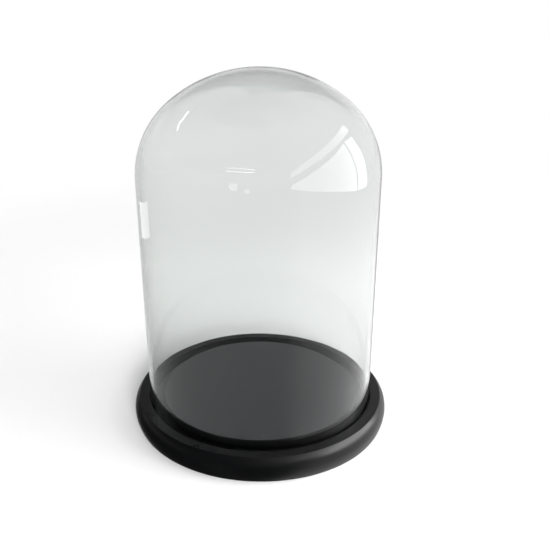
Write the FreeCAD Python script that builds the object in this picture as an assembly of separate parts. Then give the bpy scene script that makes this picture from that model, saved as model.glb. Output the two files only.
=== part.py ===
"""A glass bell jar on a low, round, black lacquered base: the dome lifts off straight up.

Lengths are in millimetres. Z points up, and the origin is the middle of the surface that the
base stands on. Every piece but the screws and the felt feet is turned about the Z axis, so each is
drawn as half a section, with x as the radius, and revolved.
"""

import FreeCAD, Part

import math
import os

# The base, from the surface it stands on upwards
PAD_THICKNESS = 0.6
PAD_RADIUS = 10.0
PAD_CIRCLE_RADIUS = 88.0
PAD_COUNT = 4
PAD_EDGE_RADIUS = 0.3
BASE_TOP = 20.4
BASE_RADIUS = 111.0
WIDEST_HEIGHT = 9.4
FOOT_RADIUS = 109.4
FOOT_EDGE_RADIUS = 0.6
RIM_OUTER_RADIUS = 106.2
RIM_EDGE_RADIUS = 0.5
RIM_ARRIS = 0.25
GLASS_SIDE_GAP = 1.2

# The display platform, let into the base and standing a little above its rim
PLATFORM_RADIUS = 85.0
PLATFORM_THICKNESS = 8.0
PLATFORM_TOP = 21.5
PLATFORM_CHAMFER = 0.6

# The glass dome
GLASS_RADIUS = 97.0
GLASS_WALL = 3.0
GLASS_HEIGHT = 281.4
SHOULDER_RADIUS = 75.0
CROWN_RADIUS = 110.3
FOOT_ROUND = 1.0

# The countersunk screws that hold the platform, put in from below
SCREW_COUNT = 4
SCREW_CIRCLE_RADIUS = 50.0
SCREW_LENGTH = 16.0
SCREW_SUNK = 0.3
HEAD_RADIUS = 3.5
HEAD_EDGE = 0.3
CORE_RADIUS = 1.2
THREAD_RADIUS = 1.75
THREAD_PITCH = 1.6
THREAD_RIDGE = 0.5
THREAD_TURNS = 6
TIP_LENGTH = 2.6
CLEARANCE_RADIUS = 1.9
RECESS_SLOT = 0.9
RECESS_SPAN = 3.8
RECESS_DEPTH = 1.6

# Levels that follow from these
GROOVE_FLOOR = PLATFORM_TOP - PLATFORM_THICKNESS
RECESS_RADIUS = GLASS_RADIUS + GLASS_SIDE_GAP
UP = FreeCAD.Vector(0, 0, 1)
AXIS_FOOT = FreeCAD.Vector(0, 0, 0)


def at(radius, height):
    """A point of a half section: x is the radius."""
    return FreeCAD.Vector(radius, 0, height)


def line(start, end):
    return Part.LineSegment(start, end).toShape()


def arc_about(centre, start, end):
    """The shorter arc from start to end about centre."""
    half_way = (start - centre).normalize() + (end - centre).normalize()
    middle = centre + half_way.normalize() * (start - centre).Length
    return Part.Arc(start, middle, end).toShape()


def turned(edges):
    """The solid that a closed half section sweeps round the Z axis."""
    face = Part.Face(Part.Wire(edges))
    return face.revolve(AXIS_FOOT, UP, 360)


def turned_polygon(corners):
    ring = corners[1:] + corners[:1]
    return turned([line(a, b) for a, b in zip(corners, ring)])


def upright_arc_centre(widest, end):
    """The centre of the arc that runs upright at the point widest and passes through end."""
    inward = widest.x - end.x
    rise = end.z - widest.z
    radius = (inward * inward + rise * rise) / (2 * inward)
    return at(widest.x - radius, widest.z)


def spaced_round(count, circle_radius, first_angle=0.0):
    """Places evenly spaced on a circle about the Z axis, at height 0."""
    angles = [math.radians(first_angle + 360.0 * i / count) for i in range(count)]
    return [
        FreeCAD.Vector(circle_radius * math.cos(a), circle_radius * math.sin(a), 0)
        for a in angles
    ]


def screw_places():
    return spaced_round(SCREW_COUNT, SCREW_CIRCLE_RADIUS, 45.0)


def screw_hole():
    """The countersunk clearance hole for one screw, about the Z axis, as a solid to cut away."""
    below = PAD_THICKNESS - 1.0
    above = GROOVE_FLOOR + 1.0
    cone_foot = PAD_THICKNESS + SCREW_SUNK + HEAD_EDGE
    mouth_radius = HEAD_RADIUS + cone_foot - below
    cone_top = cone_foot + HEAD_RADIUS - CLEARANCE_RADIUS
    return turned_polygon([
        at(0, below),
        at(mouth_radius, below),
        at(CLEARANCE_RADIUS, cone_top),
        at(CLEARANCE_RADIUS, above),
        at(0, above),
    ])


def rim_round(bulge_centre, bulge_radius):
    """The small round between the rounded edge and the rim: its centre, its start and its end."""
    height = BASE_TOP - RIM_EDGE_RADIUS
    reach = bulge_radius - RIM_EDGE_RADIUS
    rise = height - bulge_centre.z
    centre = at(bulge_centre.x + math.sqrt(reach * reach - rise * rise), height)
    start = bulge_centre + (centre - bulge_centre).normalize() * bulge_radius
    return centre, start, at(centre.x, BASE_TOP)


def plinth():
    """The turned base: a rounded edge under a narrow flat rim, with a round recess inside the rim."""
    widest = at(BASE_RADIUS, WIDEST_HEIGHT)
    bulge_centre = upright_arc_centre(widest, at(RIM_OUTER_RADIUS, BASE_TOP))
    round_centre, bulge_top, rim_outer = rim_round(bulge_centre, BASE_RADIUS - bulge_centre.x)
    foot = at(FOOT_RADIUS, PAD_THICKNESS + FOOT_EDGE_RADIUS)
    foot_inner = at(FOOT_RADIUS - FOOT_EDGE_RADIUS, PAD_THICKNESS)
    rim_inner = at(RECESS_RADIUS + RIM_ARRIS, BASE_TOP)
    wall_top = at(RECESS_RADIUS, BASE_TOP - RIM_ARRIS)
    wall_foot = at(RECESS_RADIUS, GROOVE_FLOOR)
    body = turned([
        line(at(0, PAD_THICKNESS), foot_inner),
        arc_about(at(foot_inner.x, foot.z), foot_inner, foot),
        arc_about(upright_arc_centre(widest, foot), foot, widest),
        arc_about(bulge_centre, widest, bulge_top),
        arc_about(round_centre, bulge_top, rim_outer),
        line(rim_outer, rim_inner),
        line(rim_inner, wall_top),
        line(wall_top, wall_foot),
        line(wall_foot, at(0, GROOVE_FLOOR)),
        line(at(0, GROOVE_FLOOR), at(0, PAD_THICKNESS)),
    ])
    for place in screw_places():
        body = body.cut(screw_hole().translated(place))
    return body


def platform_disc():
    """The flat disc that the display stands on, with a fine chamfer round its top edge."""
    disc = turned_polygon([
        at(0, GROOVE_FLOOR),
        at(PLATFORM_RADIUS, GROOVE_FLOOR),
        at(PLATFORM_RADIUS, PLATFORM_TOP - PLATFORM_CHAMFER),
        at(PLATFORM_RADIUS - PLATFORM_CHAMFER, PLATFORM_TOP),
        at(0, PLATFORM_TOP),
    ])
    for place in screw_places():
        disc = disc.cut(screw_body().translated(place))
    return disc


def dome_outline(inset):
    """The dome's outer surface moved inwards: wall top, shoulder and crown of the half section."""
    radius = GLASS_RADIUS - inset
    shoulder_offset = GLASS_RADIUS - SHOULDER_RADIUS
    centre_gap = CROWN_RADIUS - SHOULDER_RADIUS
    crown_drop = math.sqrt(centre_gap**2 - shoulder_offset**2)
    top = GROOVE_FLOOR + GLASS_HEIGHT
    crown_centre = at(0, top - CROWN_RADIUS)
    shoulder_centre = at(shoulder_offset, crown_centre.z + crown_drop)
    join_direction = (shoulder_centre - crown_centre).normalize()
    wall_top = at(radius, shoulder_centre.z)
    join = crown_centre + join_direction * (CROWN_RADIUS - inset)
    apex = at(0, top - inset)
    return wall_top, [
        arc_about(shoulder_centre, wall_top, join),
        arc_about(crown_centre, join, apex),
    ]


def glass_dome():
    """The blown dome: an even wall, a ground flat foot with both of its edges polished round."""
    outer_top, outer_arcs = dome_outline(0.0)
    inner_top, inner_arcs = dome_outline(GLASS_WALL)
    inner_radius = GLASS_RADIUS - GLASS_WALL
    round_top = GROOVE_FLOOR + FOOT_ROUND
    outer_foot = at(GLASS_RADIUS, round_top)
    inner_foot = at(inner_radius, round_top)
    outer_flat = at(GLASS_RADIUS - FOOT_ROUND, GROOVE_FLOOR)
    inner_flat = at(inner_radius + FOOT_ROUND, GROOVE_FLOOR)
    outer_apex = at(0, GROOVE_FLOOR + GLASS_HEIGHT)
    inner_apex = at(0, GROOVE_FLOOR + GLASS_HEIGHT - GLASS_WALL)
    return turned([
        line(inner_flat, outer_flat),
        arc_about(at(outer_flat.x, round_top), outer_flat, outer_foot),
        line(outer_foot, outer_top),
        *outer_arcs,
        line(outer_apex, inner_apex),
        *reversed(inner_arcs),
        line(inner_top, inner_foot),
        arc_about(at(inner_flat.x, round_top), inner_foot, inner_flat),
    ])


def screw_body():
    """One screw about the Z axis, head down, with its thread drawn as closed ridges."""
    head_face = PAD_THICKNESS + SCREW_SUNK
    cone_foot = head_face + HEAD_EDGE
    tip = head_face + SCREW_LENGTH
    outline = [
        at(0, head_face),
        at(HEAD_RADIUS, head_face),
        at(HEAD_RADIUS, cone_foot),
        at(CORE_RADIUS, cone_foot + HEAD_RADIUS - CORE_RADIUS),
    ]
    ridge_base = tip - TIP_LENGTH - THREAD_TURNS * THREAD_PITCH
    for turn in range(THREAD_TURNS):
        foot = ridge_base + turn * THREAD_PITCH
        outline.append(at(CORE_RADIUS, foot))
        outline.append(at(THREAD_RADIUS, foot + THREAD_RIDGE / 2))
        outline.append(at(CORE_RADIUS, foot + THREAD_RIDGE))
    outline.append(at(CORE_RADIUS, tip - TIP_LENGTH))
    outline.append(at(0, tip))
    return turned_polygon(outline)


def cross_recess():
    """The cross cut in a screw's head, as a solid to cut away."""
    arms = []
    for length, width in ((RECESS_SPAN, RECESS_SLOT), (RECESS_SLOT, RECESS_SPAN)):
        arm = Part.makeBox(length, width, RECESS_DEPTH + SCREW_SUNK)
        arm.translate(FreeCAD.Vector(-length / 2, -width / 2, PAD_THICKNESS))
        arms.append(arm)
    return arms[0].fuse(arms[1])


def platform_screws():
    """The screws, as a group of separate solids."""
    screw = screw_body().cut(cross_recess())
    return Part.makeCompound([screw.translated(place) for place in screw_places()])


def felt_foot(place):
    """A self-adhesive felt disc under the base, with its lower edge eased."""
    rounded = PAD_RADIUS - PAD_EDGE_RADIUS
    pad = turned([
        line(at(0, 0), at(rounded, 0)),
        arc_about(at(rounded, PAD_EDGE_RADIUS), at(rounded, 0), at(PAD_RADIUS, PAD_EDGE_RADIUS)),
        line(at(PAD_RADIUS, PAD_EDGE_RADIUS), at(PAD_RADIUS, PAD_THICKNESS)),
        line(at(PAD_RADIUS, PAD_THICKNESS), at(0, PAD_THICKNESS)),
        line(at(0, PAD_THICKNESS), at(0, 0)),
    ])
    return pad.translated(place)


def main():
    nodes = {
        "plinth": plinth(),
        "platform_disc": platform_disc(),
        "platform_screws": platform_screws(),
        "glass_dome": glass_dome(),
    }
    for number, place in enumerate(spaced_round(PAD_COUNT, PAD_CIRCLE_RADIUS), start=1):
        nodes[f"felt_foot_{number}"] = felt_foot(place)
    os.makedirs("parts", exist_ok=True)
    for name, shape in nodes.items():
        shape.exportStep(f"parts/{name}.step")


main()
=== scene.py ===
"""The looks of a glass bell jar on a low black lacquered base, around the CAD frame.

Everything is in metres, in the frame of the CAD model: Z up, the origin in the middle of the
surface that the base stands on.
"""

import math

import bmesh
import bpy
from mathutils import Matrix, Vector, noise

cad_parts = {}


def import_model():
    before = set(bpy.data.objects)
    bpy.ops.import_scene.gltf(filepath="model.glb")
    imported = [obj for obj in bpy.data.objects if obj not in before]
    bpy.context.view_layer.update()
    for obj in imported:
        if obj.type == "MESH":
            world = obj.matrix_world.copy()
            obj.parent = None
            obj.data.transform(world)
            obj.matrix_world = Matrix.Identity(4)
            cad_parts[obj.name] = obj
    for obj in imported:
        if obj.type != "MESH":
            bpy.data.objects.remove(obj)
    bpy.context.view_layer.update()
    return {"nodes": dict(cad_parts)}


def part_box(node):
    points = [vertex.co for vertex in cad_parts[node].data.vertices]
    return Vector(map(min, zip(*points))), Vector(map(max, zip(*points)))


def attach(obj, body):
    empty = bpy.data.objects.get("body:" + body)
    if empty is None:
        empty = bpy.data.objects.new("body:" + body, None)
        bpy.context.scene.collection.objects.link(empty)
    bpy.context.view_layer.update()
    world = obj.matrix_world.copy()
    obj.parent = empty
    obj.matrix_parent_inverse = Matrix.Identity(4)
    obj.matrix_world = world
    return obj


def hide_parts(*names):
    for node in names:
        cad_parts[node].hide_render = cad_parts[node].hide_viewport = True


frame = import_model()

MM = 0.001

# The glass, as the CAD model has it
GLASS_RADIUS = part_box("glass_dome")[1].x
GLASS_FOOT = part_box("glass_dome")[0].z
GLASS_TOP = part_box("glass_dome")[1].z
GLASS_WALL = 3.0 * MM
SHOULDER_RADIUS = 75.0 * MM
CROWN_RADIUS = 110.3 * MM
FOOT_ROUND = 1.0 * MM
GLASS_SPOKES = 256
GLASS_RIPPLE = 0.07 * MM
RIPPLE_FADE = 25 * MM

# The felt feet: how far their edge is worn round, frayed and kept in, and how high the tufts are
FELT_WORN = 0.25 * MM
FELT_FRAY = 0.15 * MM
FELT_INSET = 0.2 * MM
FELT_TUFT = 0.12 * MM

# The camera, where the photographer stood
CAMERA_PLACE = Vector((0.0, -0.5295, 0.3334))
CAMERA_PITCH = math.radians(21.29)
CAMERA_YAW = math.radians(2.676)
CAMERA_ROLL = math.radians(-1.410)
CAMERA_LENS = 44.11
CAMERA_SHIFT = 0.084

# The table top, and how far from the middle it starts and ends turning into the horizon's white
FLOOR_RADIUS = 60.0
FLOOR_FADE = (0.28, 1.0)
WHITE = 1.0

# The backdrop's level, and where its straight edge is: metres from the middle, and degrees from +Y
BACKDROP = 0.93
BACKDROP_EDGE = 2.5
BACKDROP_TURN = 68

# The level that lights dull surfaces from all round, and the least level that rays leaving the glass
# meet, unless they rise steeply
AMBIENT = 0.47
THROUGH_GLASS = 1.0

# The window beside the table: its radiance, where it stands, and the (y, height) corners of its parts
WINDOW = 7.2
WINDOW_X = 0.8
PANE_FRONT = ((-1.44, 0.28), (0.04, 0.07), (0.04, 0.62), (-1.44, 0.40))
PANE_BACK = ((0.065, 0.07), (0.26, 0.07), (0.26, 0.60), (0.065, 0.62))
TRANSOM = ((-1.44, 0.62), (0.34, 0.67), (0.34, 0.78), (-1.44, 0.78))

# The room's light from its left (-1) to its right (1), as (side, level) stops for each band
WALL_LEVELS = ((-1, 0.3), (-0.3, 0.6), (0, 0.6), (0.3, 0.9), (0.8, 1.15), (1, 1.2))
CEILING_LEVELS = ((-1, 0.05), (0, 0.18), (0.4, 0.6), (1, 1.25))
GROUND_LEVELS = ((-1, 0.04), (-0.7, 0.08), (-0.4, 0.55), (0, 0.85), (0.3, 0.7), (1, 1.25))

# The top of the dark doorway, as (side, sine of its elevation) stops
DOORWAY_TOP = ((-0.6, 0), (-0.4, 0.62), (-0.1, 0.93), (0.42, 0.84), (0.55, 0.4), (0.65, 0))

# The least level of the ceiling in sharp reflections
SHARP_CEILING = 0.55


# ---------------------------------------------------------------- node helpers


class Nodes:
    """A node tree under construction, and the sums that its nodes do."""

    def __init__(self, tree):
        self.tree = tree

    def node(self, kind, **settings):
        made = self.tree.nodes.new(kind)
        for key, value in settings.items():
            setattr(made, key, value)
        return made

    def link(self, source, target):
        self.tree.links.new(source, target)

    def feed(self, value, socket):
        """Puts a plain number, or another node's output, into a socket."""
        if isinstance(value, (int, float)):
            socket.default_value = value
        else:
            self.link(value, socket)

    def maths(self, operation, *values):
        made = self.node("ShaderNodeMath", operation=operation)
        for socket, value in zip(made.inputs, values):
            self.feed(value, socket)
        return made.outputs["Value"]

    def split(self, vector):
        """The x, y and z of a vector."""
        made = self.node("ShaderNodeSeparateXYZ")
        self.link(vector, made.inputs["Vector"])
        return made.outputs

    def rays(self):
        """What kind of ray asks, by name: each output is 1 or 0."""
        return self.node("ShaderNodeLightPath").outputs

    def ramp(self, source, low, high, from_low=0.0, from_high=1.0, kind="LINEAR"):
        """source from from_low..from_high turned into low..high."""
        made = self.node("ShaderNodeMapRange", clamp=True, interpolation_type=kind)
        self.link(source, made.inputs["Value"])
        made.inputs["From Min"].default_value = from_low
        made.inputs["From Max"].default_value = from_high
        made.inputs["To Min"].default_value = low
        made.inputs["To Max"].default_value = high
        return made.outputs["Result"]

    def rise(self, source, low, high, least=0.0):
        """least up to low, 1 from high on, and a smooth rise between them."""
        return self.ramp(source, least, 1.0, low, high, "SMOOTHSTEP")

    def blend(self, factor, first, second):
        """first where factor is 0, second where it is 1."""
        rest = self.maths("SUBTRACT", 1.0, factor)
        second_part = self.maths("MULTIPLY", factor, second)
        return self.maths("ADD", second_part, self.maths("MULTIPLY", rest, first))

    def profile(self, source, stops):
        """Levels from 0 to 2 by a source of -1 to 1, as (source, level) stops."""
        made = self.node("ShaderNodeValToRGB")
        elements = made.color_ramp.elements
        elements.remove(elements[1])
        for number, (at, level) in enumerate(stops):
            share = (at + 1) / 2
            element = elements[0] if number == 0 else elements.new(share)
            element.position = share
            element.color = (level / 2, level / 2, level / 2, 1)
        self.link(self.maths("MULTIPLY_ADD", source, 0.5, 0.5), made.inputs["Fac"])
        return self.maths("MULTIPLY", made.outputs["Color"], 2.0)


class Recipe(Nodes):
    """A material under construction: one Principled shader and the nodes that feed it."""

    def __init__(self, name):
        self.material = bpy.data.materials.new(name)
        self.material.use_nodes = True
        super().__init__(self.material.node_tree)
        self.shader = self.tree.nodes["Principled BSDF"]
        self.output = self.tree.nodes["Material Output"]
        self.place = self.node("ShaderNodeTexCoord").outputs["Object"]

    def set(self, **values):
        """Plain values on the shader's own sockets, with _ for a space in their names."""
        for key, value in values.items():
            self.shader.inputs[key.replace("_", " ")].default_value = value

    def surface(self, factor, other):
        """Shows the Principled shader where factor is 0 and the other shader where it is 1."""
        mix = self.node("ShaderNodeMixShader")
        self.link(factor, mix.inputs["Fac"])
        self.link(self.shader.outputs["BSDF"], mix.inputs[1])
        self.link(other, mix.inputs[2])
        self.link(mix.outputs["Shader"], self.output.inputs["Surface"])

    def emission(self, strength):
        """An emission shader of one strength, or of a strength that nodes work out."""
        made = self.node("ShaderNodeEmission")
        self.feed(strength, made.inputs["Strength"])
        return made.outputs["Emission"]

    def noise(self, scale, detail=2.0, stretch=(1, 1, 1), roughness=0.5):
        """Noise over the object, finer by scale, and drawn out along an axis by a small stretch."""
        mapping = self.node("ShaderNodeMapping")
        mapping.inputs["Scale"].default_value = stretch
        self.link(self.place, mapping.inputs["Vector"])
        texture = self.node("ShaderNodeTexNoise")
        texture.inputs["Scale"].default_value = scale
        texture.inputs["Detail"].default_value = detail
        texture.inputs["Roughness"].default_value = roughness
        self.link(mapping.outputs["Vector"], texture.inputs["Vector"])
        return texture.outputs["Fac"]

    def colours(self, factor, first, second):
        """A colour between first and second by factor."""
        made = self.node("ShaderNodeMix", data_type="RGBA")
        self.link(factor, made.inputs["Factor"])
        made.inputs[6].default_value = (*first, 1.0)
        made.inputs[7].default_value = (*second, 1.0)
        return made.outputs[2]

    def bump(self, height, distance, strength=1.0):
        """Relief of the given depth in metres, laid over any relief already there."""
        made = self.node("ShaderNodeBump")
        made.inputs["Strength"].default_value = strength
        made.inputs["Distance"].default_value = distance
        self.link(height, made.inputs["Height"])
        normal = self.shader.inputs["Normal"]
        if normal.is_linked:
            self.link(normal.links[0].from_socket, made.inputs["Normal"])
        self.link(made.outputs["Normal"], normal)

    def specks(self, scale, size, level):
        """1 in small scattered specks and 0 elsewhere: level is the share of cells that have one."""
        cells = self.node("ShaderNodeTexVoronoi", feature="F1")
        cells.inputs["Scale"].default_value = scale
        self.link(self.place, cells.inputs["Vector"])
        near = self.ramp(cells.outputs["Distance"], 1.0, 0.0, size * 0.5, size)
        split = self.node("ShaderNodeSeparateColor")
        self.link(cells.outputs["Color"], split.inputs["Color"])
        chosen = self.maths("LESS_THAN", split.outputs["Red"], level)
        return self.maths("MULTIPLY", near, chosen)


# ---------------------------------------------------------------- materials


def clear_glass():
    """Clear glass with a faint grey-green body colour and the long faint waves of blown glass.

    For shadows it is plainly transparent, so that light reaches what stands inside it.
    """
    look = Recipe("clear_glass")
    look.set(Base_Color=(0.85, 0.865, 0.86, 1), Roughness=0.0, IOR=1.5, Transmission_Weight=1.0)
    look.set(Specular_Tint=(0.4, 0.4, 0.4, 1))
    streaks = look.noise(28, 1.0, stretch=(1, 1, 0.12))
    look.bump(streaks, 0.12 * MM)
    clear = look.node("ShaderNodeBsdfTransparent")
    clear.inputs["Color"].default_value = (0.965, 0.97, 0.965, 1)
    look.surface(look.rays()["Is Shadow Ray"], clear.outputs["BSDF"])
    return look.material


def lacquer(name, bare, dusty, roughness, gloss):
    """Sprayed black lacquer with a faint orange peel, and a film of fine dust on what faces up."""
    look = Recipe(name)
    look.set(Specular_IOR_Level=gloss)
    upward = look.split(look.node("ShaderNodeNewGeometry").outputs["Normal"])["Z"]
    cloud = look.noise(30, 5.0)
    wipes = look.noise(16, 3.0, stretch=(1, 0.25, 1))
    film = look.ramp(upward, 0.0, 1.0, 0.85, 0.98)
    film = look.maths("MULTIPLY", film, look.ramp(wipes, 0.82, 1.0, 0.35, 0.65))
    motes = look.specks(420, 0.16, 0.035)
    film = look.maths("MULTIPLY", film, look.maths("MULTIPLY_ADD", motes, 1.2, 1.0))
    look.link(look.colours(film, bare, dusty), look.shader.inputs["Base Color"])
    low, high = roughness
    look.link(look.ramp(cloud, low, high, 0.3, 0.7), look.shader.inputs["Roughness"])
    look.bump(look.noise(420, 2.0), 0.006 * MM)
    look.bump(look.noise(90, 1.0), 0.012 * MM)
    look.bump(motes, 0.03 * MM)
    return look.material


def black_lacquer():
    """Satin black lacquer on turned board."""
    bare = (0.0012, 0.0013, 0.0015)
    dusty = (0.0026, 0.0027, 0.0030)
    return lacquer("black_lacquer", bare, dusty, roughness=(0.26, 0.34), gloss=0.33)


def platform_lacquer():
    """The same lacquer on the platform, whose flat top is duller and dustier."""
    bare = (0.0020, 0.0021, 0.0023)
    dusty = (0.036, 0.037, 0.039)
    return lacquer("platform_lacquer", bare, dusty, roughness=(0.34, 0.44), gloss=0.25)


def zinc_steel():
    """Bright zinc plating, a little spangled."""
    look = Recipe("zinc_steel")
    look.set(Metallic=1.0)
    cloud = look.noise(700, 3.0)
    plating = look.colours(cloud, (0.52, 0.52, 0.5), (0.68, 0.68, 0.65))
    look.link(plating, look.shader.inputs["Base Color"])
    look.link(look.ramp(cloud, 0.22, 0.42, 0.3, 0.7), look.shader.inputs["Roughness"])
    look.bump(look.noise(2500, 2.0), 0.01 * MM)
    return look.material


def black_felt():
    """Pressed felt: matted fibres that lie every way."""
    look = Recipe("black_felt")
    look.set(Roughness=0.95, Sheen_Weight=0.4, Sheen_Roughness=0.5, Specular_IOR_Level=0.2)
    tufts = look.noise(1400, 4.0)
    fibres = look.colours(tufts, (0.010, 0.010, 0.011), (0.030, 0.030, 0.032))
    look.link(fibres, look.shader.inputs["Base Color"])
    look.bump(look.noise(2600, 3.0), 0.15 * MM)
    return look.material


# ---------------------------------------------------------------- object helpers


def give(obj, material):
    """Puts one material on every slot of an object."""
    if not obj.material_slots:
        obj.data.materials.append(material)
    for slot in obj.material_slots:
        slot.material = material


def place_mesh(name, mesh):
    """A scene object from mesh data."""
    made = bpy.data.objects.new(name, mesh)
    bpy.context.scene.collection.objects.link(made)
    return made


# ---------------------------------------------------------------- the glass


def arc(centre, radius, first, last, steps):
    """Points along an arc, from the angle first to the angle last, both ends included."""
    angles = [first + (last - first) * i / steps for i in range(steps + 1)]
    return [Vector((centre.x + radius * math.cos(a), centre.y + radius * math.sin(a))) for a in angles]


def dome_side(inset):
    """One surface of the glass from its wall's foot to its apex, as (radius, height) points."""
    shoulder = Vector((GLASS_RADIUS - SHOULDER_RADIUS, 0))
    centre_gap = CROWN_RADIUS - SHOULDER_RADIUS
    crown = Vector((0, GLASS_TOP - CROWN_RADIUS))
    shoulder.y = crown.y + math.sqrt(centre_gap**2 - shoulder.x**2)
    join = math.atan2(shoulder.y - crown.y, shoulder.x)
    wall_foot = GLASS_FOOT + FOOT_ROUND
    wall = [
        Vector((GLASS_RADIUS - inset, wall_foot + (shoulder.y - wall_foot) * i / 40))
        for i in range(40)
    ]
    bend = arc(shoulder, SHOULDER_RADIUS - inset, 0, join, 30)
    top = arc(crown, CROWN_RADIUS - inset, join, math.pi / 2, 24)
    return wall + bend + top[1:]


def dome_section():
    """The whole half section of the glass: inner apex, down inside, round the foot, up outside."""
    foot = GLASS_FOOT + FOOT_ROUND
    inside = dome_side(GLASS_WALL)
    outside = dome_side(0)
    inner_round = arc(
        Vector((GLASS_RADIUS - GLASS_WALL + FOOT_ROUND, foot)), FOOT_ROUND, math.pi, 1.5 * math.pi, 6
    )
    outer_round = arc(Vector((GLASS_RADIUS - FOOT_ROUND, foot)), FOOT_ROUND, -0.5 * math.pi, 0, 6)
    return inside[::-1] + inner_round[1:] + outer_round[:-1] + outside


def ripple(point, seed):
    """How far the blown glass stands off its true surface: slow waves, stretched along the wall."""
    x, y, z = point
    slow = noise.noise(Vector((x * 22 + seed, y * 22, z * 9)))
    fine = noise.noise(Vector((x * 60, y * 60 + seed, z * 14)))
    return GLASS_RIPPLE * (slow + 0.35 * fine)


def lathe(name, section, spokes):
    """A closed mesh turned from a section whose first and last points lie on the axis."""
    mesh = bmesh.new()
    first = mesh.verts.new((0, 0, section[0].y))
    last = mesh.verts.new((0, 0, section[-1].y))
    rings = []
    for point in section[1:-1]:
        ring = []
        for i in range(spokes):
            turn = math.tau * i / spokes
            x = point.x * math.cos(turn)
            y = point.x * math.sin(turn)
            ring.append(mesh.verts.new((x, y, point.y)))
        rings.append(ring)
    for i in range(spokes):
        j = (i + 1) % spokes
        mesh.faces.new((first, rings[0][j], rings[0][i]))
        for low, high in zip(rings, rings[1:]):
            mesh.faces.new((low[i], low[j], high[j], high[i]))
        mesh.faces.new((last, rings[-1][i], rings[-1][j]))
    bmesh.ops.recalc_face_normals(mesh, faces=mesh.faces)
    data = bpy.data.meshes.new(name)
    mesh.to_mesh(data)
    mesh.free()
    for face in data.polygons:
        face.use_smooth = True
    return place_mesh(name, data)


def glass():
    """The dome, with the faint ripple of blown glass fading out at its foot.

    The ripple thins the glass rather than swelling it, so the dome stays inside its CAD box. Its
    outer and inner surfaces have ripples of their own.
    """
    made = lathe("dome_glass", dome_section(), GLASS_SPOKES)
    outward = [vertex.normal.copy() for vertex in made.data.vertices]
    for vertex, normal in zip(made.data.vertices, outward):
        place = vertex.co.copy()
        seed = 8.0 if normal.dot(place) > 0 else 3.0
        depth = min(1.0, max(0.0, (place.z - GLASS_FOOT) / RIPPLE_FADE))
        lift = (ripple(place, seed) - GLASS_RIPPLE) * depth
        vertex.co = place + normal * lift
    give(made, clear_glass())
    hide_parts("glass_dome")
    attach(made, "dome")


# ---------------------------------------------------------------- the base


def base():
    """The CAD pieces of the base, with their finished materials, and its felt feet."""
    give(frame["nodes"]["plinth"], black_lacquer())
    give(frame["nodes"]["platform_disc"], platform_lacquer())
    give(frame["nodes"]["platform_screws"], zinc_steel())
    felt = black_felt()
    for name in frame["nodes"]:
        if name.startswith("felt_foot_"):
            felt_foot(name, felt)


def felt_section(radius, thickness):
    """Half the outline of a felt disc, from the middle of its underside to the middle of its top."""
    under = [Vector((radius * i / 24, FELT_WORN * (i / 24) ** 8)) for i in range(24)]
    side = [Vector((radius, FELT_WORN + (thickness - FELT_WORN) * i / 4)) for i in range(5)]
    top = [Vector((radius * i / 8, thickness)) for i in range(7, -1, -1)]
    return under + side + top


def felt_foot(name, felt):
    """A die-cut felt disc: a slightly ragged edge, and an underside matted into low tufts."""
    low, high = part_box(name)
    middle = (low + high) / 2
    radius = (high.x - low.x) / 2 - FELT_INSET
    made = lathe(f"{name}_disc", felt_section(radius, high.z - low.z), 120)
    for vertex in made.data.vertices:
        x, y, z = vertex.co
        ragged = noise.noise(Vector((x * 900 + middle.x * 50, y * 900 + middle.y * 50, z * 900)))
        tuft = abs(noise.noise(Vector((x * 1100, y * 1100 + middle.x * 90, middle.y * 90))))
        from_axis = math.hypot(x, y)
        spread = 1 + FELT_FRAY * ragged / radius if from_axis > 0.9 * radius else 1
        lift = FELT_TUFT * tuft if z < 0.5 * (high.z - low.z) else 0
        vertex.co = Vector((x * spread + middle.x, y * spread + middle.y, z + lift + low.z))
    give(made, felt)
    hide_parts(name)
    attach(made, "base")


# ---------------------------------------------------------------- the studio


def floor():
    """A white table top that turns, far out, into the even white of the horizon.

    Mirrors see the world's own lower half in its place, so the lacquer keeps its deep black.
    Through the glass, what lies beyond the edge of the backdrop is a little darker.
    """
    mesh = bmesh.new()
    bmesh.ops.create_circle(mesh, cap_ends=True, segments=96, radius=FLOOR_RADIUS)
    data = bpy.data.meshes.new("floor")
    mesh.to_mesh(data)
    mesh.free()
    made = place_mesh("floor", data)
    made.visible_glossy = False
    look = Recipe("pale_floor")
    look.set(Base_Color=(0.8, 0.8, 0.8, 1), Roughness=0.9, Specular_IOR_Level=0.1)
    length = look.node("ShaderNodeVectorMath", operation="LENGTH")
    look.link(look.place, length.inputs[0])
    far = look.rise(length.outputs["Value"], *FLOOR_FADE)
    depth = look.node("ShaderNodeVectorMath", operation="DOT_PRODUCT")
    depth.inputs[1].default_value = toward(BACKDROP_TURN, 0)
    look.link(look.place, depth.inputs[0])
    edge_end = BACKDROP_EDGE + 0.05
    beyond = look.ramp(depth.outputs["Value"], WHITE, BACKDROP, BACKDROP_EDGE, edge_end)
    look.surface(far, look.emission(look.maths("MAXIMUM", beyond, look.rays()["Is Camera Ray"])))
    give(made, look.material)


def hide_from_view(lamp):
    """Keeps a lamp out of sight, even through the glass. It still lights and is mirrored."""
    lamp.visible_camera = False
    lamp.visible_transmission = False


def area_light(name, place, aim, size, radiance):
    """A rectangular lamp of the given radiance that lights things up and isn't mirrored."""
    data = bpy.data.lights.new(name, "AREA")
    data.shape = "RECTANGLE"
    data.size, data.size_y = size
    data.energy = radiance * data.size * data.size_y * math.pi
    made = bpy.data.objects.new(name, data)
    made.location = place
    made.rotation_euler = (Vector(aim) - Vector(place)).to_track_quat("-Z", "Y").to_euler()
    hide_from_view(made)
    made.visible_glossy = False
    bpy.context.scene.collection.objects.link(made)


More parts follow.
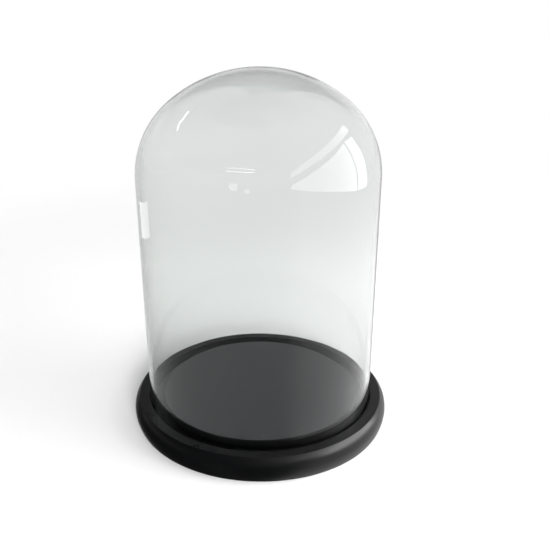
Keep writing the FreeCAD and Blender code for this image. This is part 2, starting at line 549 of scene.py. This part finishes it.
def glint(name, place, aim, size, radiance, turn=0):
    """A small lamp that lights nothing and shows only as a sharp reflection in the glass."""
    x = size[0] / 2
    y = size[1] / 2
    data = bpy.data.meshes.new(name)
    data.from_pydata([(-x, -y, 0), (x, -y, 0), (x, y, 0), (-x, y, 0)], [], [(0, 1, 2, 3)])
    made = place_mesh(name, data)
    made.location = place
    facing = (Vector(aim) - Vector(place)).to_track_quat("-Z", "Y").to_matrix()
    made.rotation_euler = (facing @ Matrix.Rotation(math.radians(turn), 3, "Z")).to_euler()
    hide_from_view(made)
    made.visible_diffuse = False
    made.visible_shadow = False
    look = Recipe(name)
    shown = look.emission(look.maths("MULTIPLY", look.rays()["Is Singular Ray"], radiance))
    look.link(shown, look.output.inputs["Surface"])
    give(made, look.material)


def pane(name, outline, radiance, fades=False):
    """A part of the window, which stands across +X: outline is its (y, height) corners.

    A pane that fades is dimmed at its near end, but not in sharp reflections.
    """
    data = bpy.data.meshes.new(name)
    corners = [(WINDOW_X, y, z) for y, z in outline]
    data.from_pydata(corners, [], [tuple(range(len(corners)))])
    made = place_mesh(name, data)
    hide_from_view(made)
    look = Recipe(name)
    strength = radiance
    if fades:
        share = look.ramp(look.split(look.place)["Y"], 0.1, 1.15, -0.8, -0.5)
        share = look.maths("MAXIMUM", share, look.rays()["Is Singular Ray"])
        strength = look.maths("MULTIPLY", share, radiance)
    look.link(look.emission(strength), look.output.inputs["Surface"])
    give(made, look.material)


def toward(azimuth, elevation):
    """A direction: azimuth in degrees from +Y towards +X, elevation in degrees above the floor."""
    turn = math.radians(azimuth)
    lift = math.radians(elevation)
    level = math.cos(lift)
    return Vector((math.sin(turn) * level, math.cos(turn) * level, math.sin(lift)))


def lights():
    """A soft lamp overhead, the main lamp behind the camera, a weaker one at the right."""
    area_light("overhead", (0, 0.5, 4.0), (0, 0.5, 0), (9, 9), 0.3)
    area_light("key", toward(168, 14) * 7, (0, 0, 0), (2.6, 1.6), 62.0)
    area_light("fill", toward(112, 24) * 3, (0, 0, 0), (1.2, 1.2), 14.0)


def window():
    """The window beside the table, as the glass and the lacquer mirror it: two panes and a transom."""
    pane("pane_front", PANE_FRONT, WINDOW, fades=True)
    pane("pane_back", PANE_BACK, WINDOW * 1.2)
    pane("transom", TRANSOM, WINDOW * 0.8)


def glints():
    """What else the glass mirrors sharply.

    A twin tube and two bulbs behind the camera, two short strokes of light at the left, and a pale
    card low down at the far left.
    """
    dome = Vector((0, 0, 0.25))
    for number, lift in enumerate((22.1, 25.6)):
        glint(f"tube_{number}", dome + toward(-163.8, lift) * 3, dome, (1.3, 0.06), 14)
    for number, (side, lift) in enumerate(((-57, 41), (-66, 37))):
        glint(f"spot_{number}", dome + toward(side, lift) * 3, dome, (0.5, 0.06), 20, -18)
    for number, (side, lift, size) in enumerate(((-159, 6, 0.36), (-171, 2, 0.22))):
        glint(f"bulb_{number}", dome + toward(side, lift) * 3, dome, (size, size), 6)
    wall_left = Vector((-0.088, -0.04, 0.185))
    glint("card", (-0.455, 0.295, 0.041), wall_left, (0.20, 0.055), 1.5)


def room(nodes, across, along, up):
    """The room's light by direction: wall, ceiling and ground.

    The wall and the ground are dimmed towards -Y, the photographer's side. The ground stands in for
    the floor in mirrors.
    """
    wall = nodes.profile(across, WALL_LEVELS)
    wall = nodes.maths("MULTIPLY", wall, nodes.rise(along, -0.8, 0.0, least=0.15))
    ceiling = nodes.profile(across, CEILING_LEVELS)
    ground = nodes.profile(across, GROUND_LEVELS)
    ground = nodes.maths("MULTIPLY", ground, nodes.rise(along, -0.98, -0.7, least=0.03))
    above = nodes.blend(nodes.rise(up, 0.12, 0.42), wall, ceiling)
    return nodes.blend(nodes.rise(up, -0.02, 0.02), ground, above)


def sharp_room(nodes, sharp, total, across, along, up):
    """What only sharp reflections see: a brighter ceiling, and a dark doorway straight ahead.

    The doorway's reflection is the dark crescent in the crown of the glass.
    """
    ceiling = nodes.maths("MULTIPLY", sharp, nodes.rise(up, 0.0, 0.3))
    ceiling = nodes.maths("MULTIPLY", ceiling, SHARP_CEILING)
    total = nodes.maths("MAXIMUM", total, ceiling)
    below_top = nodes.maths("SUBTRACT", nodes.profile(across, DOORWAY_TOP), up)
    door = nodes.maths("MULTIPLY", nodes.rise(below_top, -0.01, 0.03), nodes.rise(up, 0.05, 0.75))
    door = nodes.maths("MULTIPLY", door, nodes.rise(along, 0.0, 0.1))
    return nodes.blend(nodes.maths("MULTIPLY", door, sharp), total, 0.0)


def world():
    """The room around: for the camera all white, for everything else its walls and ceiling.

    across and along are the sine and cosine of a direction's azimuth, and up the sine of its
    elevation.
    """
    made = bpy.data.worlds.new("studio")
    made.use_nodes = True
    nodes = Nodes(made.node_tree)
    east, north, up = nodes.split(nodes.node("ShaderNodeTexCoord").outputs["Generated"])
    level = nodes.maths("SQRT", nodes.maths("SUBTRACT", 1.0, nodes.maths("MULTIPLY", up, up)))
    level = nodes.maths("MAXIMUM", level, 0.001)
    across = nodes.maths("DIVIDE", east, level)
    along = nodes.maths("DIVIDE", north, level)
    rays = nodes.rays()
    total = room(nodes, across, along, up)
    total = sharp_room(nodes, rays["Is Singular Ray"], total, across, along, up)
    low_down = nodes.ramp(up, THROUGH_GLASS, 0.0, 0.25, 0.5, "SMOOTHSTEP")
    total = nodes.maths("MAXIMUM", total, nodes.maths("MULTIPLY", rays["Is Transmission Ray"], low_down))
    total = nodes.blend(rays["Is Diffuse Ray"], total, AMBIENT)
    background = nodes.tree.nodes["Background"]
    nodes.link(nodes.maths("MAXIMUM", total, rays["Is Camera Ray"]), background.inputs["Strength"])
    background.inputs["Color"].default_value = (1, 1, 1, 1)
    bpy.context.scene.world = made


def camera():
    """The camera, at the photographer's place."""
    data = bpy.data.cameras.new("camera")
    data.lens = CAMERA_LENS
    data.sensor_width = 36.0
    data.shift_x = CAMERA_SHIFT
    made = bpy.data.objects.new("camera", data)
    turn = Matrix.Rotation(CAMERA_YAW, 4, "Z") @ Matrix.Rotation(math.pi / 2 - CAMERA_PITCH, 4, "X")
    made.matrix_world = Matrix.Translation(CAMERA_PLACE) @ turn @ Matrix.Rotation(CAMERA_ROLL, 4, "Z")
    bpy.context.scene.collection.objects.link(made)
    bpy.context.scene.camera = made


def main():
    """Builds the scene."""
    glass()
    base()
    floor()
    lights()
    window()
    glints()
    world()
    camera()
    bpy.context.scene.view_settings.view_transform = "Standard"


main()
